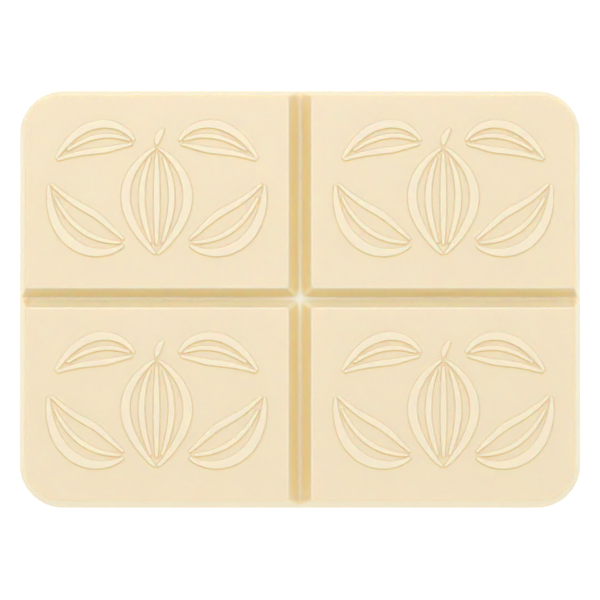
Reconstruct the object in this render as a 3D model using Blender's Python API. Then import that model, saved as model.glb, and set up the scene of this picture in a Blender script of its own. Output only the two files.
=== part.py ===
"""A small bar of white chocolate, cast in one piece as two rows of two blocks.

The bar lies flat with its long side along X and its underside on z = 0. Its outer walls lean in towards
the top, so that it leaves its mould, and two crossing grooves run through to the edges, over a thin web
that holds the blocks together. On each block stands a low relief of a cocoa pod between four leaves.
"""

import math

import bmesh
import bpy

# The bar, in metres
BAR_LENGTH = 0.0800
BAR_WIDTH = 0.0595
FACE_HEIGHT = 0.0070
CORNER_RADIUS = 0.0062
CORNER_STEPS = 10
WALL_LEAN = 0.00114
SHARP_ANGLE = math.radians(30)
DISSOLVE_ANGLE = 1e-3
WELD_DISTANCE = 1e-6

EDGE_ROUND, EDGE_STEPS = 0.00025, 2

# The grooves: WIDE at the face, NARROW at the floor
WEB_HEIGHT = 0.0034
CROSS_GROOVE_WIDE, CROSS_GROOVE_NARROW = 0.0032, 0.00065
LONG_GROOVE_WIDE, LONG_GROOVE_NARROW = 0.0027, 0.00048
FLOOR_ROUND, FLOOR_ROUND_STEPS = 0.00018, 2
CUTTER_OVERRUN = 0.004

# The relief on each block: its sides slope in by RELIEF_SLOPE, from a little under the face to the top
RELIEF_HEIGHT = 0.0004
RELIEF_SLOPE = 0.00016
SLOPE_SUNK = 0.00004
RELIEF_ROOT = 0.0002
STROKE_TIP = 0.0004
STROKE_SWELL = 0.7
HEADING_STEP = 1e-3

# The pod, upright in the middle of its block, is 0 at its top and 1 at its foot
POD_TOP, POD_FOOT = 0.0062, -0.0089
POD_HALF_WIDTH = 0.0044
POD_SHOULDER, POD_FULLNESS = 0.88, 0.85
POD_RIBS = (
    # how far out, from, to, widest
    (-1.0, 0.01, 0.985, 0.00135),
    (1.0, 0.01, 0.985, 0.00135),
    (-0.48, 0.10, 0.88, 0.00095),
    (0.48, 0.10, 0.88, 0.00095),
    (0.0, 0.06, 0.90, 0.00095),
)
RIB_STATIONS = 9
STALK = ((0.0, 0.0067), (0.0001, 0.0079), (0.0009, 0.0088))
STALK_WIDTH = 0.0009
STALK_STATIONS = 4

# A leaf's midrib runs from its base past a bend to its tip; its two edges bulge to either side of that
LOW_LEAF = ((0.0043, -0.0072), (0.0122, -0.0074), (0.0152, 0.0014))
LOW_LEAF_STROKES = (
    # bulge, from, to, widest
    (0.0029, 0.03, 0.97, 0.00100),
    (-0.0023, 0.03, 0.97, 0.00145),
    (0.0, 0.06, 0.86, 0.00075),
)
HIGH_LEAF = ((0.0031, 0.0069), (0.0084, 0.0098), (0.0144, 0.0044))
HIGH_LEAF_STROKES = (
    (0.0017, 0.03, 0.97, 0.00120),
    (-0.0020, 0.03, 0.97, 0.00090),
    (0.0, 0.08, 0.84, 0.00070),
)
LEAF_SHOULDER, LEAF_FULLNESS = 0.85, 0.9
LEAF_STATIONS = 9

CREAM = (0.905, 0.775, 0.558, 1.0)
ROUGHNESS = 0.42
COAT = 0.15


def clear_scene():
    for obj in list(bpy.data.objects):
        bpy.data.objects.remove(obj, do_unlink=True)
    for collection in list(bpy.data.collections):
        bpy.data.collections.remove(collection)


def new_collection(name):
    collection = bpy.data.collections.new(name)
    bpy.context.scene.collection.children.link(collection)
    return collection


def add_mesh(name, mesh, collection):
    obj = bpy.data.objects.new(name, mesh)
    collection.objects.link(obj)
    return obj


def clamp(value, limit):
    return max(-limit, min(limit, value))


def white_chocolate():
    material = bpy.data.materials.new("white_chocolate")
    material.use_nodes = True
    shader = material.node_tree.nodes["Principled BSDF"]
    shader.inputs["Base Color"].default_value = CREAM
    shader.inputs["Roughness"].default_value = ROUGHNESS
    shader.inputs["Metallic"].default_value = 0.0
    shader.inputs["Coat Weight"].default_value = COAT
    material.diffuse_color = CREAM
    return material


def leaning_slab(collection):
    """The whole bar before its grooves: a box with round upright corners and walls that lean in."""
    bm = bmesh.new()
    bmesh.ops.create_cube(bm, size=1.0)
    bmesh.ops.scale(bm, vec=(BAR_LENGTH, BAR_WIDTH, FACE_HEIGHT), verts=bm.verts)
    bmesh.ops.translate(bm, vec=(0.0, 0.0, FACE_HEIGHT / 2), verts=bm.verts)
    upright = [edge for edge in bm.edges if edge.verts[0].co.z != edge.verts[1].co.z]
    bmesh.ops.bevel(
        bm, geom=upright, offset=CORNER_RADIUS, segments=CORNER_STEPS, profile=0.5, affect="EDGES"
    )
    # Each point of the top moves towards the nearest corner's axis, which keeps the corner round.
    kept = (CORNER_RADIUS - WALL_LEAN) / CORNER_RADIUS
    for vertex in bm.verts:
        if vertex.co.z > FACE_HEIGHT / 2:
            axis_x = clamp(vertex.co.x, BAR_LENGTH / 2 - CORNER_RADIUS)
            axis_y = clamp(vertex.co.y, BAR_WIDTH / 2 - CORNER_RADIUS)
            vertex.co.x = axis_x + (vertex.co.x - axis_x) * kept
            vertex.co.y = axis_y + (vertex.co.y - axis_y) * kept
    mesh = bpy.data.meshes.new("chocolate_bar")
    bm.to_mesh(mesh)
    bm.free()
    return add_mesh("chocolate_bar", mesh, collection)


def flat_outline(name, points, half_thickness, collection):
    """A closed outline in XY, filled and thickened along Z."""
    curve = bpy.data.curves.new(name, "CURVE")
    curve.dimensions = "2D"
    curve.fill_mode = "BOTH"
    curve.extrude = half_thickness
    spline = curve.splines.new("POLY")
    spline.points.add(len(points) - 1)
    for point, (x, y) in zip(spline.points, points):
        point.co = (x, y, 0.0, 1.0)
    spline.use_cyclic_u = True
    obj = bpy.data.objects.new(name, curve)
    collection.objects.link(obj)
    return obj


def as_mesh(obj, collection):
    """The curve object as a closed mesh, in the same place and with the same name."""
    bpy.context.view_layer.update()
    graph = bpy.context.evaluated_depsgraph_get()
    mesh = bpy.data.meshes.new_from_object(obj.evaluated_get(graph))
    bm = bmesh.new()
    bm.from_mesh(mesh)
    bmesh.ops.remove_doubles(bm, verts=bm.verts, dist=WELD_DISTANCE)
    bmesh.ops.recalc_face_normals(bm, faces=bm.faces)
    bm.to_mesh(mesh)
    bm.free()
    name, place = obj.name, obj.matrix_world.copy()
    curve = obj.data
    bpy.data.objects.remove(obj, do_unlink=True)
    bpy.data.curves.remove(curve)
    solid = add_mesh(name, mesh, collection)
    solid.matrix_world = place
    return solid


def groove_outline(wide, narrow):
    """The groove's cross-section, x across it and y up: its two sloping walls and the round between them."""
    slope = (wide - narrow) / 2 / (FACE_HEIGHT - WEB_HEIGHT)
    right = []
    for i in range(FLOOR_ROUND_STEPS + 1):
        turn = math.pi / 2 * i / FLOOR_ROUND_STEPS
        in_from_wall = FLOOR_ROUND * (1 - math.sin(turn))
        up = FLOOR_ROUND * (1 - math.cos(turn))
        right.append((narrow / 2 + slope * up - in_from_wall, WEB_HEIGHT + up))
    right.append((wide / 2 + slope * CUTTER_OVERRUN, FACE_HEIGHT + CUTTER_OVERRUN))
    return right + [(-x, y) for x, y in reversed(right)]


def groove_cutter(name, wide, narrow, run, turn, cutters):
    """A bar of the groove's cross-section, longer than the run that it cuts, turned about +Z."""
    curve = flat_outline(name, groove_outline(wide, narrow), run / 2 + CUTTER_OVERRUN, cutters)
    curve.rotation_euler = (math.pi / 2, 0.0, turn)
    cutter = as_mesh(curve, cutters)
    cutter.hide_render = True
    cutter.display_type = "WIRE"
    return cutter


def subtract(obj, cutter):
    cut = obj.modifiers.new(f"cut {cutter.name}", "BOOLEAN")
    cut.operation = "DIFFERENCE"
    cut.object = cutter


def apply_modifiers(obj):
    """Keeps what the object's modifiers make as its own mesh."""
    bpy.context.view_layer.update()
    graph = bpy.context.evaluated_depsgraph_get()
    mesh = bpy.data.meshes.new_from_object(obj.evaluated_get(graph))
    old = obj.data
    obj.modifiers.clear()
    obj.data = mesh
    bpy.data.meshes.remove(old)
    mesh.name = obj.name


def sticks_out(edge):
    return edge.is_manifold and edge.is_convex and edge.calc_face_angle() > SHARP_ANGLE


def on_underside(edge):
    return max(vertex.co.z for vertex in edge.verts) < WEB_HEIGHT / 2


def round_blocks(obj):
    """Rounds the blocks' lips and upright corners and the ends of the web, but not the underside's rim."""
    bm = bmesh.new()
    bm.from_mesh(obj.data)
    bmesh.ops.dissolve_limit(bm, angle_limit=DISSOLVE_ANGLE, verts=bm.verts, edges=bm.edges)
    proud = [edge for edge in bm.edges if sticks_out(edge) and not on_underside(edge)]
    bmesh.ops.bevel(bm, geom=proud, offset=EDGE_ROUND, segments=EDGE_STEPS, profile=0.5, affect="EDGES")
    bm.to_mesh(obj.data)
    bm.free()


def between(u, start, bend, end):
    """The point at u on the curve from start to end that is drawn towards bend."""
    weights = ((1 - u) ** 2, 2 * u * (1 - u), u * u)
    x = weights[0] * start[0] + weights[1] * bend[0] + weights[2] * end[0]
    y = weights[0] * start[1] + weights[1] * bend[1] + weights[2] * end[1]
    return x, y


def heading(path, u):
    """The path's direction at u, as a vector of length 1."""
    x0, y0 = path(max(u - HEADING_STEP, 0.0))
    x1, y1 = path(min(u + HEADING_STEP, 1.0))
    length = math.hypot(x1 - x0, y1 - y0)
    return (x1 - x0) / length, (y1 - y0) / length


def stroke_outline(path, widest, stations):
    """The closed outline of a stroke of the relief, widest in the middle and narrow at both ends."""
    left, right = [], []
    for i in range(stations):
        u = i / (stations - 1)
        x, y = path(u)
        dx, dy = heading(path, u)
        swell = math.sin(math.pi * u) ** STROKE_SWELL
        half = (STROKE_TIP + (widest - STROKE_TIP) * swell) / 2
        left.append((x - dy * half, y + dx * half))
        right.append((x + dy * half, y - dx * half))
    return left + right[::-1]


def pod_rib(outward, first, last):
    def path(u):
        v = first + (last - first) * u
        half_width = POD_HALF_WIDTH * math.sin(math.pi * v**POD_SHOULDER) ** POD_FULLNESS
        return outward * half_width, POD_TOP + (POD_FOOT - POD_TOP) * v

    return path


def leaf_stroke(leaf, side, bulge, first, last):
    def midrib(v):
        return between(v, *leaf)

    def path(u):
        v = first + (last - first) * u
        x, y = midrib(v)
        dx, dy = heading(midrib, v)
        out = bulge * math.sin(math.pi * v**LEAF_SHOULDER) ** LEAF_FULLNESS
        return side * (x - dy * out), y + dx * out

    return path


def stalk(u):
    return between(u, *STALK)


def relief_outlines():
    """Every stroke of one block's relief, as closed outlines round the block's middle."""
    outlines = []
    for outward, first, last, widest in POD_RIBS:
        outlines.append(stroke_outline(pod_rib(outward, first, last), widest, RIB_STATIONS))
    outlines.append(stroke_outline(stalk, STALK_WIDTH, STALK_STATIONS))
    for leaf, strokes in ((LOW_LEAF, LOW_LEAF_STROKES), (HIGH_LEAF, HIGH_LEAF_STROKES)):
        for side in (-1, 1):
            for bulge, first, last, widest in strokes:
                path = leaf_stroke(leaf, side, bulge, first, last)
                outlines.append(stroke_outline(path, widest, LEAF_STATIONS))
    return outlines


def block_middles():
    """The middle of each block's face, between its groove's lip and the bar's leaning wall."""
    x = (CROSS_GROOVE_WIDE / 2 + BAR_LENGTH / 2 - WALL_LEAN) / 2
    y = (LONG_GROOVE_WIDE / 2 + BAR_WIDTH / 2 - WALL_LEAN) / 2
    return [(side_x * x, side_y * y) for side_y in (1, -1) for side_x in (-1, 1)]


def relief_stroke(points, x, y, relief):
    """A stroke that is rooted in the face, with sloping sides and a flat top."""
    # A bevel is as high as it is wide, so the height is stretched to the slope's.
    stretch = (RELIEF_HEIGHT + SLOPE_SUNK) / RELIEF_SLOPE
    stroke = flat_outline("stroke", points, RELIEF_ROOT / stretch, relief)
    stroke.data.bevel_depth = RELIEF_SLOPE
    stroke.data.bevel_resolution = 0
    stroke.data.offset = -RELIEF_SLOPE / 2
    stroke.scale.z = stretch
    stroke.location = (x, y, FACE_HEIGHT - SLOPE_SUNK - RELIEF_ROOT)
    return as_mesh(stroke, relief)


def fuse_relief(bar):
    """Stands the relief on each block's face and makes it one body with the bar."""
    relief = new_collection("relief")
    outlines = relief_outlines()
    for x, y in block_middles():
        for points in outlines:
            relief_stroke(points, x, y, relief)
    join = bar.modifiers.new("fuse relief", "BOOLEAN")
    join.operation = "UNION"
    join.operand_type = "COLLECTION"
    join.collection = relief
    join.solver = "MANIFOLD"
    apply_modifiers(bar)
    for obj in list(relief.objects):
        mesh = obj.data
        bpy.data.objects.remove(obj, do_unlink=True)
        bpy.data.meshes.remove(mesh)
    bpy.data.collections.remove(relief)


def build_bar():
    parts = new_collection("chocolate bar")
    cutters = new_collection("cutters")
    bar = leaning_slab(parts)
    across = groove_cutter("cross_groove", CROSS_GROOVE_WIDE, CROSS_GROOVE_NARROW, BAR_WIDTH, 0.0, cutters)
    subtract(bar, across)
    quarter = math.pi / 2
    along = groove_cutter("long_groove", LONG_GROOVE_WIDE, LONG_GROOVE_NARROW, BAR_LENGTH, quarter, cutters)
    subtract(bar, along)
    apply_modifiers(bar)
    round_blocks(bar)
    fuse_relief(bar)
    bar.data.materials.clear()
    bar.data.materials.append(white_chocolate())
    bar.data.shade_smooth()
    bar.data.set_sharp_from_angle(angle=SHARP_ANGLE)
    return bar


clear_scene()
build_bar()
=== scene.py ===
"""Looks of the white chocolate bar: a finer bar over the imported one, its material, floor, light and camera.

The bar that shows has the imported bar's form, from the same named sizes: a slab with leaning walls and round
corners, two grooves and the relief. Its upper side is worked out as one height over each point of the plan,
so every edge is truly round. Its underside was poured and levelled, as a moulded bar's is.
"""

import math
import random

import bmesh
import bpy
import numpy as np
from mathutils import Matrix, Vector, noise
from mathutils.geometry import delaunay_2d_cdt


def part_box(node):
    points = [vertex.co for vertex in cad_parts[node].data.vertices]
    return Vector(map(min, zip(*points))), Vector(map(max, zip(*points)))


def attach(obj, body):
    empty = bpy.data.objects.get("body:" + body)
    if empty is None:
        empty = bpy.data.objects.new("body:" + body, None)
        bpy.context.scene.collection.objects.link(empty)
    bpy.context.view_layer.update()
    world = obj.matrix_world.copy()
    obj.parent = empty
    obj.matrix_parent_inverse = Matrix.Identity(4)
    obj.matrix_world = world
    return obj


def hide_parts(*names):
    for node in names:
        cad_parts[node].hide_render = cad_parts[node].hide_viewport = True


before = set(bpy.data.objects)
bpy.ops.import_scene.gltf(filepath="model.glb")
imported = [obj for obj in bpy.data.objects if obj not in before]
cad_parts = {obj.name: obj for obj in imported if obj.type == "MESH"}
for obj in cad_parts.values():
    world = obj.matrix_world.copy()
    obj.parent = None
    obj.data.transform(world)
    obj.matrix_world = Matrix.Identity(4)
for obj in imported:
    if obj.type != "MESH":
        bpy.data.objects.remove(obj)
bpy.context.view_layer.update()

# The bar, in metres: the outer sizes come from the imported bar, the rest repeat its driving dimensions
LOW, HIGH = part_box("chocolate_bar")
BAR_LENGTH = HIGH.x - LOW.x
BAR_WIDTH = HIGH.y - LOW.y
RELIEF_HEIGHT = 0.0004
FACE_HEIGHT = HIGH.z - RELIEF_HEIGHT
CORNER_RADIUS = 0.0062
WALL_LEAN = 0.00114
WEB_HEIGHT = 0.0034
CROSS_GROOVE_WIDE, CROSS_GROOVE_NARROW = 0.0032, 0.00065
LONG_GROOVE_WIDE, LONG_GROOVE_NARROW = 0.0027, 0.00048

# How round its edges are
LIP_ROUND = 0.00024
CROSSING_ROUND = 0.0006
FLOOR_ROUND = 0.00018
RIM_ROUND = 0.00012

# The relief on each block, in metres from the block's middle
STROKE_TIP = 0.0004
STROKE_SWELL = 0.7
STROKE_BLEND = 0.00025
HEADING_STEP = 1e-3
POD_TOP, POD_FOOT = 0.0062, -0.0089
POD_HALF_WIDTH = 0.0044
POD_SHOULDER, POD_FULLNESS = 0.88, 0.85
POD_RIBS = (
    # how far out, from, to, widest
    (-1.0, 0.01, 0.985, 0.00135),
    (1.0, 0.01, 0.985, 0.00135),
    (-0.48, 0.10, 0.88, 0.00095),
    (0.48, 0.10, 0.88, 0.00095),
    (0.0, 0.06, 0.90, 0.00095),
)
STALK = ((0.0, 0.0067), (0.0001, 0.0079), (0.0009, 0.0088))
STALK_WIDTH = 0.0009
LOW_LEAF = ((0.0043, -0.0072), (0.0122, -0.0074), (0.0152, 0.0014))
LOW_LEAF_STROKES = (
    # bulge, from, to, widest
    (0.0029, 0.03, 0.97, 0.00100),
    (-0.0023, 0.03, 0.97, 0.00145),
    (0.0, 0.06, 0.86, 0.00075),
)
HIGH_LEAF = ((0.0031, 0.0069), (0.0084, 0.0098), (0.0144, 0.0044))
HIGH_LEAF_STROKES = (
    (0.0017, 0.03, 0.97, 0.00120),
    (-0.0020, 0.03, 0.97, 0.00090),
    (0.0, 0.08, 0.84, 0.00070),
)
LEAF_SHOULDER, LEAF_FULLNESS = 0.85, 0.9
# The relief's side runs from this far inside a stroke's edge to as far outside it, with soft ends
SLOPE_REACH = 0.00015
# Distances to the strokes count up to here
FAR_OFF = 0.0018

# How finely the plan is cut into points, in metres and in steps
ALONG = 0.00065
CORNER_STEPS = 18
CROSSING_STEPS = 8
RIM_STEPS = 4
WALL_LEVELS = 9
GROOVE_LEVELS = 12
LIP_OFFSETS = (
    *(-0.00008, -0.00004, 0.0, 0.00004, 0.00008, 0.00012),
    *(0.00017, 0.00022, 0.00028, 0.00034, 0.0004, 0.0005),
)
FOOT_OFFSETS = (-0.00014, -0.00011, -0.00008, -0.00005, -0.00002, 0.00001, 0.00004)
STROKE_OFFSETS = (-0.00021, -0.00015, -0.00010, -0.00005, 0.0, 0.00005, 0.00010, 0.00015, 0.00021)
STROKE_SPACING = 0.00038
CAP_STEPS = 5
LEAST_HALF_WIDTH = 0.00002
FILL_SPACING = 0.0009
CLEAR_OF_STROKE = 0.00045
GROOVE_LINE_END = 0.0003
CROSSING_REACH = 0.0032
CROSSING_LINE_STEPS = 5
LEAST_STATIONS = 6
ROUGH_STEPS = 20
HALVINGS = 34
SLOPE_STEP = 0.000002
# Points are spread with this share of their spacing out of line
SPREAD = 0.15
# The plan's triangles are worked out in this unit, in which points this close are one
PLAN_UNIT = 0.001
ONE_POINT = 1e-6

# Unevenness, as heights in metres and the lengths over which they change
WAVER, WAVER_LENGTH = 0.000012, 0.009
POURED, POURED_LENGTH = 0.00009, 0.012
SCRAPED, SCRAPED_ACROSS, SCRAPED_ALONG = 0.000035, 0.0011, 0.030
SCRAPED_BEND = 0.002
RIM_FADE = 0.0012
PIT_COUNT = 14
PIT_RADII = (0.00025, 0.00075)
PIT_DEPTH_SHARE = 0.5
PIT_MARGIN = 0.004
PIT_RINGS, PIT_RING_POINTS = (0.3, 0.6, 0.85, 1.0, 1.15), 14
UNDERSIDE_SPACING = 0.00075
CLEAR_OF_RIM = 3 * RIM_ROUND
SEED, BEND_SEED, SCRAPED_SEED = 5, 3.0, 7.0

# The chocolate: its faces' two shades, and the colours of painted shade, painted light and painted shade
# below the relief
LIGHT_CREAM = (0.904, 0.784, 0.571, 1.0)
WARM_CREAM = (0.899, 0.765, 0.547, 1.0)
# Cream with painted shade, for the grooves' walls and the outer lip and walls
SHADED_CREAM = (0.985, 0.810, 0.440, 1.0)
# Cream with painted light and painted highlights
HIGHLIGHT_CREAM = (1.000, 0.980, 0.860, 1.0)
# Cream with painted shade, along the relief's sides that face away from the light
RELIEF_SHADE_CREAM = (0.930, 0.740, 0.330, 1.0)
MOTTLE_LENGTH, MOTTLE_DETAIL = 0.006, 3.0
GRAIN_LENGTH, GRAIN_DETAIL = 0.0005, 2.0
GRAIN_DEPTH = 0.000006
GRAIN_SHADE = (0.985, 0.985, 0.985, 1.0)
IOR = 1.45
ROUGHNESS = 0.40
SOFT_SHARE = 0.55
SOFT_REACH = 0.0009
SOFT_COLOURS = (1.0, 0.45, 0.15)
COAT, COAT_ROUGHNESS = 0.12, 0.25
# Where shade and light are painted into the colour: how strongly, and over what length
# How far the painted shade below the relief reaches
RELIEF_SHADE_REACH = 0.00016
# Painted shade on the outer lip and outer walls; painted light on the outer walls at the sides
OUTER_LIP_SHADE, OUTER_LIP_REACH = 0.5, 0.00025
OUTER_WALL_SHADE, OUTER_SIDE_LIGHT = 0.5, 0.25
WALL_FADE = 0.0016
# Painted shade on the groove walls, least where they face the light
# Of the groove walls that face the photo's top edge, its sides and its bottom edge
GROOVE_WALL_SHADE = (0.6, 0.85, 1.0)
# Painted light on walls that face it and on floors, a painted glint at the crossing, painted highlights on
# mitres, lips and relief edges
LIT_WALL_LIGHT = 0.6
GROOVE_FLOOR_LIGHT, FLOOR_FADE = 0.15, 0.0005
STAR_MIDDLE, STAR_LENGTH, STAR_RAY = 0.0012, 0.0045, 0.0003
MITRE_HIGHLIGHT, MITRE_REACH = 0.55, 0.00035
LIP_HIGHLIGHT, LIP_HIGHLIGHT_REACH = 0.45, 0.00018
STROKE_HIGHLIGHT, STROKE_HIGHLIGHT_REACH = 0.4, 0.00012

# The tent and its lamps: as (height, brightness), the tent is bright low down all round and at its top
TENT_BANDS = ((0.10, 0.95), (0.55, 0.45), (0.85, 0.45), (0.95, 0.8))
LAMPS = (
    # place, side, power
    ((-0.1, 0.42, 1.8), 0.45, 7.1),
    ((-1.0, 0.8, 1.35), 0.9, 4.1),
    ((1.0, 0.8, 1.35), 0.9, 4.1),
    ((0.0, -1.3, 0.55), 0.9, 1.6),
)
FLOOR_SIDE = 3.0
FLOOR_GAP = 0.00005
FLOOR_SHADE = (0.08, 0.08, 0.08, 1.0)
FLOOR_ROUGHNESS = 0.9
FLOOR_GLOW = 0.96

# The photograph's frame and camera
PHOTO_SIDE = 600
PIXELS_ACROSS_BAR = 560.3
PIXELS_ABOVE_MIDDLE = 0.87
CAMERA_DISTANCE = 0.60
CAMERA_TILT = math.radians(1.5)
CAMERA_REACH = (0.01, 10.0)
SENSOR = 36.0

# The mix node's sockets: its factor and its two colours, and its result
MIX_INPUTS, MIX_RESULT = (0, 6, 7), 2


def new_object(name, mesh):
    obj = bpy.data.objects.new(name, mesh)
    bpy.context.scene.collection.objects.link(obj)
    return obj


# The bar's upper side, as a height over each point of the plan
def soft_least(a, b, radius):
    """The lesser of two depths, with a round of that radius where the two meet."""
    rounded = np.hypot(np.maximum(radius - a, 0.0), np.maximum(radius - b, 0.0))
    return np.maximum(radius, np.minimum(a, b)) - rounded


def soft_most(a, b, radius):
    return -soft_least(-a, -b, radius)


def from_outline(x, y):
    """How far inside the bar's outline each point of the plan lies."""
    past_x = np.abs(x) - (BAR_LENGTH / 2 - CORNER_RADIUS)
    past_y = np.abs(y) - (BAR_WIDTH / 2 - CORNER_RADIUS)
    outside = np.hypot(np.maximum(past_x, 0.0), np.maximum(past_y, 0.0))
    inside = np.minimum(np.maximum(past_x, past_y), 0.0)
    return CORNER_RADIUS - outside - inside


def from_groove_wall(across, z, wide, narrow):
    """How deep in the chocolate a point lies that is so far across from the groove's middle."""
    slope = (wide - narrow) / 2 / (FACE_HEIGHT - WEB_HEIGHT)
    return (np.abs(across) - narrow / 2 - slope * (z - WEB_HEIGHT)) / math.hypot(1.0, slope)


def depth(x, y, z):
    """How deep a point lies in the bar, leaving the relief out, and below 0 outside the bar."""
    cross = from_groove_wall(x, z, CROSS_GROOVE_WIDE, CROSS_GROOVE_NARROW)
    long = from_groove_wall(y, z, LONG_GROOVE_WIDE, LONG_GROOVE_NARROW)
    block = soft_least(cross, long, CROSSING_ROUND)
    block = soft_least(block, FACE_HEIGHT - z, LIP_ROUND)
    body = soft_most(block, WEB_HEIGHT - z, FLOOR_ROUND)
    lean = WALL_LEAN / FACE_HEIGHT
    wall = (from_outline(x, y) - lean * z) / math.hypot(1.0, lean)
    return soft_least(body, wall, LIP_ROUND)


def body_height(x, y):
    """The height at which a straight line up through the bar leaves it."""
    low, high = np.full(x.shape, -CORNER_RADIUS), np.full(x.shape, 2 * FACE_HEIGHT)
    for _ in range(HALVINGS):
        middle = (low + high) / 2
        within = depth(x, y, middle) > 0
        low, high = np.where(within, middle, low), np.where(within, high, middle)
    return (low + high) / 2


# The relief's strokes
def between(u, start, bend, end):
    """The point at u on the curve from start to end that is drawn towards bend."""
    weights = ((1 - u) ** 2, 2 * u * (1 - u), u * u)
    x = weights[0] * start[0] + weights[1] * bend[0] + weights[2] * end[0]
    y = weights[0] * start[1] + weights[1] * bend[1] + weights[2] * end[1]
    return x, y


def heading(path, u):
    """The path's direction at u, as a vector of length 1."""
    x0, y0 = path(max(u - HEADING_STEP, 0.0))
    x1, y1 = path(min(u + HEADING_STEP, 1.0))
    length = math.hypot(x1 - x0, y1 - y0)
    return (x1 - x0) / length, (y1 - y0) / length


def pod_rib(outward, first, last):
    def path(u):
        v = first + (last - first) * u
        half_width = POD_HALF_WIDTH * math.sin(math.pi * v**POD_SHOULDER) ** POD_FULLNESS
        return outward * half_width, POD_TOP + (POD_FOOT - POD_TOP) * v

    return path


def leaf_stroke(leaf, side, bulge, first, last):
    def midrib(v):
        return between(v, *leaf)

    def path(u):
        v = first + (last - first) * u
        x, y = midrib(v)
        dx, dy = heading(midrib, v)
        out = bulge * math.sin(math.pi * v**LEAF_SHOULDER) ** LEAF_FULLNESS
        return side * (x - dy * out), y + dx * out

    return path


def stalk(u):
    return between(u, *STALK)


def relief_paths():
    """Each stroke of the relief as its path and its greatest width."""
    found = [(pod_rib(outward, first, last), widest) for outward, first, last, widest in POD_RIBS]
    found.append((stalk, STALK_WIDTH))
    for leaf, strokes in ((LOW_LEAF, LOW_LEAF_STROKES), (HIGH_LEAF, HIGH_LEAF_STROKES)):
        for side in (-1, 1):
            for bulge, first, last, widest in strokes:
                found.append((leaf_stroke(leaf, side, bulge, first, last), widest))
    return found


class Stroke:
    """A stroke's stations: where its path runs, which way it heads and how wide it is there."""

    def __init__(self, path, widest):
        rough = [path(i / ROUGH_STEPS) for i in range(ROUGH_STEPS + 1)]
        length = sum(math.dist(a, b) for a, b in zip(rough, rough[1:]))
        count = max(LEAST_STATIONS, round(length / STROKE_SPACING))
        u = [i / count for i in range(count + 1)]
        self.middle = np.array([path(v) for v in u])
        self.heading = np.array([heading(path, v) for v in u])
        swell = np.array([max(0.0, math.sin(math.pi * v)) ** STROKE_SWELL for v in u])
        self.half = (STROKE_TIP + (widest - STROKE_TIP) * swell) / 2

    def ring(self, offset):
        """The closed line that runs round the stroke at that distance outside its edge."""
        half = np.maximum(self.half + offset, LEAST_HALF_WIDTH)[:, None]
        across = np.stack([-self.heading[:, 1], self.heading[:, 0]], axis=1)
        left, right = self.middle + across * half, self.middle - across * half
        return np.concatenate([left, self.cap(-1, half[-1, 0]), right[::-1], self.cap(0, half[0, 0])])

    def cap(self, end, half):
        """Points round the stroke's end, between its two sides."""
        dx, dy = self.heading[end] if end == -1 else -self.heading[end]
        turns = [math.pi / 2 - math.pi * i / (CAP_STEPS + 1) for i in range(1, CAP_STEPS + 1)]
        rounded = [(dx * math.cos(t) - dy * math.sin(t), dy * math.cos(t) + dx * math.sin(t)) for t in turns]
        return self.middle[end] + half * np.array(rounded)

    def distance(self, points):
        """How far each point is outside the stroke's edge, below 0 inside it."""
        nearest = np.full(len(points), np.inf)
        for a, b, ra, rb in zip(self.middle, self.middle[1:], self.half, self.half[1:]):
            along = b - a
            t = np.clip((points - a) @ along / (along @ along), 0.0, 1.0)
            gap = np.linalg.norm(points - (a + t[:, None] * along), axis=1) - (ra + t * (rb - ra))
            nearest = np.minimum(nearest, gap)
        return nearest


STROKES = [Stroke(path, widest) for path, widest in relief_paths()]


def distance_to_strokes(points):
    """How far each point, given from the block's middle, is outside the strokes, which join softly."""
    found = np.full(len(points), FAR_OFF)
    for stroke in STROKES:
        low, high = stroke.middle.min(axis=0) - FAR_OFF, stroke.middle.max(axis=0) + FAR_OFF
        near = np.all((points > low) & (points < high), axis=1)
        if not near.any():
            continue
        here, before = stroke.distance(points[near]), found[near]
        overlap = np.maximum(STROKE_BLEND - np.abs(here - before), 0.0)
        found[near] = np.minimum(here, before) - overlap**2 / (4 * STROKE_BLEND)
    return found


def block_middles():
    """The middle of each block's face, between its groove's lip and the bar's leaning wall."""
    x = (CROSS_GROOVE_WIDE / 2 + BAR_LENGTH / 2 - WALL_LEAN) / 2
    y = (LONG_GROOVE_WIDE / 2 + BAR_WIDTH / 2 - WALL_LEAN) / 2
    return [np.array((side_x * x, side_y * y)) for side_y in (1, -1) for side_x in (-1, 1)]


def off_relief(x, y):
    """How far each point of the plan is outside its block's strokes, and far off between the blocks."""
    points = np.stack([x, y], axis=1)
    off = np.full(len(points), FAR_OFF)
    for middle in block_middles():
        here = (np.sign(points) == np.sign(middle)).all(axis=1)
        off[here] = distance_to_strokes(points[here] - middle)
    return off


def soft_step(t):
    t = np.clip(t, 0.0, 1.0)
    return t * t * (3 - 2 * t)


def relief_height(x, y):
    """The relief's height: flat on each stroke, nothing off it, and a soft-ended slope between."""
    return RELIEF_HEIGHT * (1 - soft_step((off_relief(x, y) + SLOPE_REACH) / (2 * SLOPE_REACH)))


# Where shade and light are painted into the chocolate's colour, from 0 to 1
def ridge(distance, reach):
    """1 where the distance is 0, falling softly to 0 at reach to either side."""
    return soft_step(1 - np.abs(distance) / reach)


def inside_walls(x, y):
    return soft_step((from_outline(x, y) - WALL_LEAN) / WALL_LEAN)


def on_outer_wall(x, y):
    return soft_step((WALL_LEAN - from_outline(x, y)) / OUTER_LIP_REACH)


def on_floor(x, y):
    return 1 - soft_step((body_height(x, y) - WEB_HEIGHT) / FLOOR_FADE)


def rise_to_top(height, x, y):
    """How steeply a height over the plan rises towards the photograph's top edge, from -1 to 1."""
    return np.clip((height(x, y + SLOPE_STEP) - height(x, y - SLOPE_STEP)) / (2 * SLOPE_STEP), -1.0, 1.0)


def in_groove(x, y):
    return soft_step((FACE_HEIGHT - body_height(x, y)) / WALL_FADE) * inside_walls(x, y)


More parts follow.
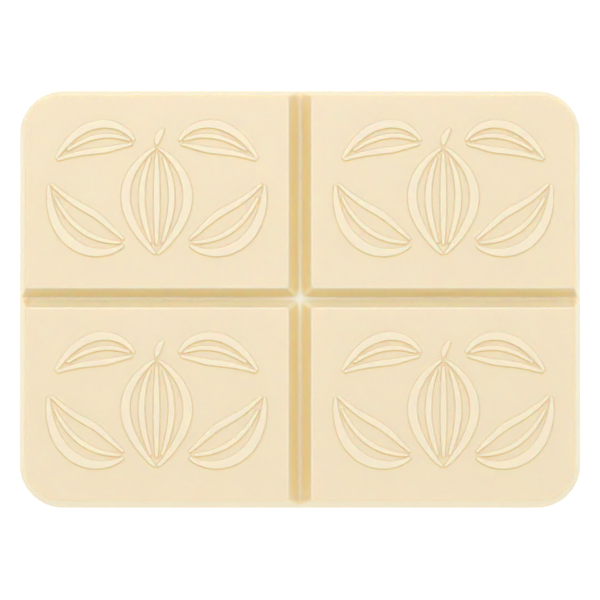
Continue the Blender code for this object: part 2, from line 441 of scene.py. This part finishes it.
def painted_shade_share(x, y):
    """Painted shade on the grooves' walls, by the way they face the light, and a little on the outer lip and
    walls.
    """
    rise = rise_to_top(body_height, x, y)
    groove = in_groove(x, y) * (1 - on_floor(x, y)) * np.interp(rise, (-1, 0, 1), GROOVE_WALL_SHADE)
    outer_wall = OUTER_WALL_SHADE * on_outer_wall(x, y)
    outer_lip = OUTER_LIP_SHADE * ridge(from_outline(x, y) - WALL_LEAN, OUTER_LIP_REACH)
    return np.maximum.reduce([groove, outer_wall, outer_lip])


def relief_shade_share(x, y):
    """Painted shade near the foot of the relief, on the sides of its strokes that face away from the light.
    """
    away = (1 - rise_to_top(off_relief, x, y)) / 2
    return ridge(off_relief(x, y) - SLOPE_REACH / 2, RELIEF_SHADE_REACH) * away**2


def painted_light_share(x, y):
    """Painted light: on the floors, as a glint most at their crossing, highlights on the lips, mitres and
    relief edges, on what faces the light and at the sides.
    """
    # A painted glint: a star of light at the grooves' crossing, with rays along the floors
    glow = np.exp(-((np.hypot(x, y) / STAR_MIDDLE) ** 2))
    ray = ridge(np.minimum(np.abs(x), np.abs(y)), STAR_RAY)
    ray *= np.exp(-np.maximum(np.abs(x), np.abs(y)) / STAR_LENGTH)
    star = on_floor(x, y) * np.maximum.reduce([glow, ray, np.full(len(x), GROOVE_FLOOR_LIGHT)])
    rise = rise_to_top(body_height, x, y)
    lit_wall = LIT_WALL_LIGHT * in_groove(x, y) * np.maximum(-rise, 0.0)
    off_mitre = np.abs(y) * CROSS_GROOVE_WIDE - np.abs(x) * LONG_GROOVE_WIDE
    off_mitre /= math.hypot(CROSS_GROOVE_WIDE, LONG_GROOVE_WIDE)
    mitre = MITRE_HIGHLIGHT * ridge(off_mitre, MITRE_REACH) * in_groove(x, y)
    past_lip = np.minimum(np.abs(x) - CROSS_GROOVE_WIDE / 2, np.abs(y) - LONG_GROOVE_WIDE / 2)
    lip = LIP_HIGHLIGHT * ridge(past_lip - LIP_ROUND / 2, LIP_HIGHLIGHT_REACH)
    stroke = STROKE_HIGHLIGHT * ridge(off_relief(x, y) + SLOPE_REACH, STROKE_HIGHLIGHT_REACH)
    outer_side = OUTER_SIDE_LIGHT * (1 - np.abs(rise)) * on_outer_wall(x, y)
    return np.maximum.reduce([star, lit_wall, mitre, lip, stroke]) * inside_walls(x, y) + outer_side


def waver(x, y):
    places = zip(x / WAVER_LENGTH, y / WAVER_LENGTH)
    return WAVER * np.array([noise.noise(Vector((u, v, SEED))) for u, v in places])


def upper_height(x, y):
    return body_height(x, y) + relief_height(x, y) + waver(x, y)


# The plan's lines, along which the upper side bends
def outline(inset):
    """The bar's outline moved in by inset, as points that run round it."""
    axis_x, axis_y = BAR_LENGTH / 2 - CORNER_RADIUS, BAR_WIDTH / 2 - CORNER_RADIUS
    corners = ((axis_x, axis_y), (-axis_x, axis_y), (-axis_x, -axis_y), (axis_x, -axis_y))
    radius = CORNER_RADIUS - inset
    points = []
    for quarter, (x, y) in enumerate(corners):
        for step in range(CORNER_STEPS + 1):
            turn = math.pi / 2 * (quarter + step / CORNER_STEPS)
            points.append((x + radius * math.cos(turn), y + radius * math.sin(turn)))
        start = np.array(points[-1])
        next_x, next_y = corners[(quarter + 1) % 4]
        turn = math.pi / 2 * (quarter + 1)
        end = np.array((next_x + radius * math.cos(turn), next_y + radius * math.sin(turn)))
        count = round(math.dist(corners[quarter], (next_x, next_y)) / ALONG)
        points += [tuple(start + (end - start) * i / count) for i in range(1, count)]
    return np.array(points)


def outline_insets():
    """How far in each line round the bar runs: up its wall, over its lip and a little way in on its face."""
    first = rim_profile()[0][0]
    last = WALL_LEAN + LIP_OFFSETS[0]
    wall = [first + (last - first) * i / WALL_LEVELS for i in range(WALL_LEVELS)]
    return wall + [WALL_LEAN + offset for offset in LIP_OFFSETS]


def groove_levels():
    """For each line along the grooves, how far it is from the cross groove's middle and the long one's."""
    narrow = np.array((CROSS_GROOVE_NARROW, LONG_GROOVE_NARROW)) / 2
    wide = np.array((CROSS_GROOVE_WIDE, LONG_GROOVE_WIDE)) / 2
    foot = [narrow + offset for offset in FOOT_OFFSETS]
    lip = [wide + offset for offset in LIP_OFFSETS]
    wall = [foot[-1] + (lip[0] - foot[-1]) * i / GROOVE_LEVELS for i in range(1, GROOVE_LEVELS)]
    return foot + wall + lip


def groove_line(level, side_x, side_y):
    """A line along one block: up the long groove, round the crossing's corner and along the cross groove."""
    arms = []
    for axis, length in ((0, BAR_LENGTH), (1, BAR_WIDTH)):
        start = level[axis] + CROSSING_ROUND
        near = np.linspace(start, CROSSING_REACH, CROSSING_LINE_STEPS, endpoint=False)
        end = length / 2 - GROOVE_LINE_END
        far = np.linspace(CROSSING_REACH, end, round((end - CROSSING_REACH) / ALONG) + 1)
        arms.append(np.concatenate([near, far]))
    long_arm = [(x, level[1]) for x in arms[0][::-1]]
    cross_arm = [(level[0], y) for y in arms[1]]
    centre = level + CROSSING_ROUND
    turns = [math.pi / 2 * i / CROSSING_STEPS for i in range(1, CROSSING_STEPS)]
    corner = [centre - CROSSING_ROUND * np.array((math.sin(t), math.cos(t))) for t in turns]
    return np.array([*long_arm, *corner, *cross_arm]) * (side_x, side_y)


class Plan:
    """Points of a plan and the lines between them that its triangles keep."""

    def __init__(self):
        self.points = []
        self.lines = []
        self.count = 0

    def add(self, points):
        first = self.count
        self.points.append(points)
        self.count += len(points)
        return first

    def add_line(self, points, closed):
        first, count = self.add(points), len(points)
        self.lines += [(first + i, first + i + 1) for i in range(count - 1)]
        if closed:
            self.lines.append((first + count - 1, first))

    def triangles(self):
        """(points, triangles, for each point that was added its place among the points)."""
        vectors = [Vector(point) for point in np.concatenate(self.points) / PLAN_UNIT]
        found, _, faces, sources, _, _ = delaunay_2d_cdt(vectors, self.lines, [], 1, ONE_POINT)
        places = {}
        for place, given in enumerate(sources):
            for number in given:
                places[number] = place
        return np.array([(v.x, v.y) for v in found]) * PLAN_UNIT, faces, places


def scattered(low, high, spacing, seed):
    """Points spaced evenly over a rectangle, each a little out of line."""
    rng = random.Random(seed)
    rows, columns = int((high[1] - low[1]) / spacing), int((high[0] - low[0]) / spacing)
    found = []
    for row in range(1, rows):
        row_shift = 0.5 * (row % 2)
        for column in range(1, columns):
            across = column + row_shift + rng.uniform(-SPREAD, SPREAD)
            up = row + rng.uniform(-SPREAD, SPREAD)
            x = low[0] + across * (high[0] - low[0]) / columns
            y = low[1] + up * (high[1] - low[1]) / rows
            found.append((x, y))
    return np.array(found)


def upper_plan():
    plan = Plan()
    for inset in outline_insets():
        plan.add_line(outline(inset), closed=True)
    middle_x, middle_y = BAR_LENGTH / 2 - GROOVE_LINE_END, BAR_WIDTH / 2 - GROOVE_LINE_END
    along_x = np.linspace(-middle_x, middle_x, 2 * round(middle_x / ALONG) + 1)
    along_y = np.linspace(-middle_y, middle_y, 2 * round(middle_y / ALONG) + 1)
    plan.add_line(np.stack([along_x, np.zeros(len(along_x))], axis=1), closed=False)
    plan.add_line(np.stack([np.zeros(len(along_y)), along_y], axis=1), closed=False)
    for side_x in (-1, 1):
        for side_y in (-1, 1):
            for level in groove_levels():
                plan.add_line(groove_line(level, side_x, side_y), closed=False)
    lip_end = LIP_OFFSETS[-1] + FILL_SPACING / 2
    for number, middle in enumerate(block_middles()):
        for stroke in STROKES:
            for offset in STROKE_OFFSETS:
                plan.add_line(stroke.ring(offset) + middle, closed=True)
        inner = np.array((CROSS_GROOVE_WIDE / 2, LONG_GROOVE_WIDE / 2)) + lip_end
        outer = np.array((BAR_LENGTH / 2, BAR_WIDTH / 2)) - WALL_LEAN - lip_end
        points = scattered(inner, outer, FILL_SPACING, SEED + number) * np.sign(middle)
        clear = distance_to_strokes(points - middle) > CLEAR_OF_STROKE
        within = from_outline(points[:, 0], points[:, 1]) > WALL_LEAN + lip_end
        plan.add(points[clear & within])
    return plan


# The rim and the underside
def rim_profile():
    """The rim's round, from the wall down to the underside, as (inset, height) pairs."""
    lean = math.atan2(WALL_LEAN, FACE_HEIGHT)
    centre = RIM_ROUND / math.cos(lean) + RIM_ROUND * math.tan(lean)
    turns = [lean - (lean + math.pi / 2) * i / RIM_STEPS for i in range(RIM_STEPS + 1)]
    return [(centre - RIM_ROUND * math.cos(t), RIM_ROUND + RIM_ROUND * math.sin(t)) for t in turns]


def pits():
    """Where air bubbles broke at the poured side: (x, y, radius) each."""
    rng = random.Random(SEED)
    half_x, half_y = BAR_LENGTH / 2 - PIT_MARGIN, BAR_WIDTH / 2 - PIT_MARGIN
    return [
        (rng.uniform(-half_x, half_x), rng.uniform(-half_y, half_y), rng.uniform(*PIT_RADII))
        for _ in range(PIT_COUNT)
    ]


def poured_height(x, y):
    """How far the poured side stands above z = 0 at a point, leaving its pits out."""
    poured = 0.5 + 0.5 * noise.noise(Vector((x / POURED_LENGTH, y / POURED_LENGTH, SEED)))
    bend = SCRAPED_BEND * noise.noise(Vector((x / SCRAPED_ALONG, y / SCRAPED_ALONG, BEND_SEED)))
    place = Vector((x / SCRAPED_ALONG, (y + bend) / SCRAPED_ACROSS, SCRAPED_SEED))
    scraped = 0.5 + 0.5 * noise.noise(place)
    return POURED * poured + SCRAPED * scraped


def underside_height(x, y):
    height = np.array([poured_height(u, v) for u, v in zip(x, y)])
    for hole_x, hole_y, radius in pits():
        share = np.hypot(x - hole_x, y - hole_y) / radius
        height += PIT_DEPTH_SHARE * radius * np.maximum(0.0, 1 - share**2)
    return height * soft_step((from_outline(x, y) - rim_profile()[-1][0]) / RIM_FADE)


def underside_plan():
    plan = Plan()
    plan.add_line(outline(rim_profile()[-1][0]), closed=True)
    half = np.array((BAR_LENGTH / 2, BAR_WIDTH / 2))
    points = scattered(-half, half, UNDERSIDE_SPACING, SEED)
    plan.add(points[from_outline(points[:, 0], points[:, 1]) > CLEAR_OF_RIM])
    turns = np.arange(PIT_RING_POINTS) * math.tau / PIT_RING_POINTS
    for x, y, radius in pits():
        for share in PIT_RINGS:
            ring = (x + share * radius * np.cos(turns), y + share * radius * np.sin(turns))
            plan.add(np.stack(ring, axis=1))
    return plan


def slopes(height, points):
    """Normals of a surface given by its height over the plan, pointing up."""
    x, y = points[:, 0], points[:, 1]
    along_x = (height(x + SLOPE_STEP, y) - height(x - SLOPE_STEP, y)) / (2 * SLOPE_STEP)
    along_y = (height(x, y + SLOPE_STEP) - height(x, y - SLOPE_STEP)) / (2 * SLOPE_STEP)
    normals = np.stack([-along_x, -along_y, np.ones(len(x))], axis=1)
    return normals / np.linalg.norm(normals, axis=1)[:, None]


def lifted(points, heights):
    return np.concatenate([points, np.broadcast_to(heights, len(points))[:, None]], axis=1)


def turn_over_rim(normals, rings):
    """Sets the normals of the rim's rings, which turn from the way that the wall faces to straight down."""
    outward = outline(0.0) - outline(CORNER_RADIUS / 2)
    outward /= np.linalg.norm(outward, axis=1)[:, None]
    lean = math.atan2(WALL_LEAN, FACE_HEIGHT)
    for level in range(1, len(rings)):
        turn = lean - (lean + math.pi / 2) * level / RIM_STEPS
        for i, place in enumerate(rings[level]):
            normals[place] = (*(outward[i] * math.cos(turn)), math.sin(turn))


def bar_mesh():
    upper, upper_faces, upper_places = upper_plan().triangles()
    under, under_faces, under_places = underside_plan().triangles()
    rim = rim_profile()
    around = len(outline(0.0))

    upper_points = lifted(upper, upper_height(upper[:, 0], upper[:, 1]))
    upper_normals = slopes(upper_height, upper)
    rim_points = [lifted(outline(inset), height) for inset, height in rim[1:]]
    under_points = lifted(under, underside_height(under[:, 0], under[:, 1]))
    under_normals = -slopes(underside_height, under)

    # Each ring of the rim, from the upper side's first line down to the underside's
    points = np.concatenate([upper_points, *rim_points[:-1], under_points])
    rings = [[upper_places[i] for i in range(around)]]
    ring_first = len(upper_points)
    for _ in rim_points[:-1]:
        rings.append([ring_first + i for i in range(around)])
        ring_first += around
    under_first = ring_first
    rings.append([under_first + under_places[i] for i in range(around)])
    faces = [tuple(face) for face in upper_faces]
    for above, below in zip(rings, rings[1:]):
        for i in range(around):
            after = (i + 1) % around
            faces.append((above[i], below[i], below[after], above[after]))
    faces += [tuple(under_first + i for i in reversed(face)) for face in under_faces]

    normals = np.zeros((len(points), 3))
    normals[: len(upper_points)] = upper_normals
    normals[under_first:] = under_normals
    turn_over_rim(normals, rings)

    mesh = bpy.data.meshes.new("bar")
    mesh.from_pydata(points.tolist(), [], faces)
    mesh.validate()
    mesh.shade_smooth()
    mesh.normals_split_custom_set_from_vertices(normals.tolist())
    # The painted shade and light, as shares at each point of the upper side
    for name, share in (("painted_shade", painted_shade_share), ("foot", relief_shade_share), ("painted_light", painted_light_share)):
        values = np.zeros(len(points))
        values[: len(upper_points)] = share(upper[:, 0], upper[:, 1])
        mesh.attributes.new(name, "FLOAT", "POINT").data.foreach_set("value", values)
    return mesh


def add_bar():
    bar = new_object("bar", bar_mesh())
    bar.data.materials.append(white_chocolate())
    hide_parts("chocolate_bar")
    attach(bar, "root")


# Materials
def noise_over(nodes, links, length, detail):
    """A noise over the object's own coordinates, whose patches are about as long as length."""
    place = nodes.new("ShaderNodeTexCoord")
    texture = nodes.new("ShaderNodeTexNoise")
    texture.inputs["Scale"].default_value = 1 / length
    texture.inputs["Detail"].default_value = detail
    links.new(place.outputs["Object"], texture.inputs["Vector"])
    return texture.outputs["Fac"]


def colour_mix(nodes, links, blend, factor, first, second):
    """A mix of two colours, each a plain colour or another node's socket, as a socket."""
    mix = nodes.new("ShaderNodeMix")
    mix.data_type = "RGBA"
    mix.blend_type = blend
    for place, value in zip(MIX_INPUTS, (factor, first, second)):
        if isinstance(value, bpy.types.NodeSocket):
            links.new(value, mix.inputs[place])
        else:
            mix.inputs[place].default_value = value
    return mix.outputs[MIX_RESULT]


def attribute(nodes, name):
    reader = nodes.new("ShaderNodeAttribute")
    reader.attribute_name = name
    return reader.outputs["Fac"]


def white_chocolate():
    material = bpy.data.materials.new("white_chocolate")
    material.use_nodes = True
    nodes, links = material.node_tree.nodes, material.node_tree.links
    shader = nodes["Principled BSDF"]
    shader.subsurface_method = "RANDOM_WALK"
    shader.inputs["Subsurface Weight"].default_value = SOFT_SHARE
    shader.inputs["Subsurface Radius"].default_value = SOFT_COLOURS
    shader.inputs["Subsurface Scale"].default_value = SOFT_REACH
    shader.inputs["IOR"].default_value = IOR
    shader.inputs["Roughness"].default_value = ROUGHNESS
    shader.inputs["Coat Weight"].default_value = COAT
    shader.inputs["Coat Roughness"].default_value = COAT_ROUGHNESS

    mottle = noise_over(nodes, links, MOTTLE_LENGTH, MOTTLE_DETAIL)
    grain = noise_over(nodes, links, GRAIN_LENGTH, GRAIN_DETAIL)
    cream = colour_mix(nodes, links, "MIX", mottle, LIGHT_CREAM, WARM_CREAM)
    grained = colour_mix(nodes, links, "MULTIPLY", grain, cream, GRAIN_SHADE)
    # Painted shade in the grooves and on the outer lip and walls
    deepened = colour_mix(nodes, links, "MIX", attribute(nodes, "painted_shade"), grained, SHADED_CREAM)
    # Painted shade below the relief's strokes, on the mesh's foot attribute
    footed = colour_mix(nodes, links, "MIX", attribute(nodes, "foot"), deepened, RELIEF_SHADE_CREAM)
    # Painted light and highlights
    colour = colour_mix(nodes, links, "MIX", attribute(nodes, "painted_light"), footed, HIGHLIGHT_CREAM)
    links.new(colour, shader.inputs["Base Color"])

    bump = nodes.new("ShaderNodeBump")
    bump.inputs["Strength"].default_value = 1.0
    bump.inputs["Distance"].default_value = GRAIN_DEPTH
    links.new(grain, bump.inputs["Height"])
    links.new(bump.outputs["Normal"], shader.inputs["Normal"])
    return material


def lit_white():
    """A light table's white: it glows, so nothing on it throws a dark shadow."""
    material = bpy.data.materials.new("light_table")
    material.use_nodes = True
    shader = material.node_tree.nodes["Principled BSDF"]
    shader.inputs["Base Color"].default_value = FLOOR_SHADE
    shader.inputs["Roughness"].default_value = FLOOR_ROUGHNESS
    shader.inputs["Specular IOR Level"].default_value = 0.0
    shader.inputs["Emission Color"].default_value = (1.0, 1.0, 1.0, 1.0)
    shader.inputs["Emission Strength"].default_value = FLOOR_GLOW
    return material


# The floor, the light and the camera
def add_floor():
    bm = bmesh.new()
    bmesh.ops.create_grid(bm, x_segments=1, y_segments=1, size=FLOOR_SIDE / 2)
    mesh = bpy.data.meshes.new("floor")
    bm.to_mesh(mesh)
    bm.free()
    floor = new_object("floor", mesh)
    floor.location.z = -FLOOR_GAP
    floor.data.materials.append(lit_white())


def add_tent():
    world = bpy.data.worlds.new("tent")
    bpy.context.scene.world = world
    world.use_nodes = True
    nodes, links = world.node_tree.nodes, world.node_tree.links
    direction = nodes.new("ShaderNodeTexCoord")
    parts = nodes.new("ShaderNodeSeparateXYZ")
    ramp = nodes.new("ShaderNodeValToRGB")
    links.new(direction.outputs["Generated"], parts.inputs[0])
    links.new(parts.outputs["Z"], ramp.inputs["Fac"])
    links.new(ramp.outputs["Color"], nodes["Background"].inputs["Color"])
    bands = ramp.color_ramp.elements
    bands[0].position, bands[1].position = TENT_BANDS[0][0], TENT_BANDS[-1][0]
    for height, _ in TENT_BANDS[1:-1]:
        bands.new(height)
    for band, (_, brightness) in zip(bands, TENT_BANDS):
        band.color = (brightness, brightness, brightness, 1.0)


def add_lamps():
    for place, side, power in LAMPS:
        lamp = bpy.data.lights.new("softbox", "AREA")
        lamp.shape = "SQUARE"
        lamp.size = side
        lamp.energy = power
        softbox = new_object("softbox", lamp)
        softbox.location = place
        softbox.rotation_euler = (-softbox.location).to_track_quat("-Z", "Y").to_euler()


def add_camera():
    data = bpy.data.cameras.new("camera")
    data.sensor_width = SENSOR
    pixel = BAR_LENGTH / PIXELS_ACROSS_BAR
    data.lens = SENSOR * CAMERA_DISTANCE / (PHOTO_SIDE * pixel)
    data.clip_start, data.clip_end = CAMERA_REACH
    camera = new_object("camera", data)
    behind = CAMERA_DISTANCE * math.sin(CAMERA_TILT) + PIXELS_ABOVE_MIDDLE * pixel
    camera.location = (0.0, -behind, CAMERA_DISTANCE * math.cos(CAMERA_TILT))
    camera.rotation_euler = (CAMERA_TILT, 0.0, 0.0)
    bpy.context.scene.camera = camera


bpy.context.scene.view_settings.view_transform = "Standard"
add_floor()
add_tent()
add_lamps()
add_camera()
add_bar()
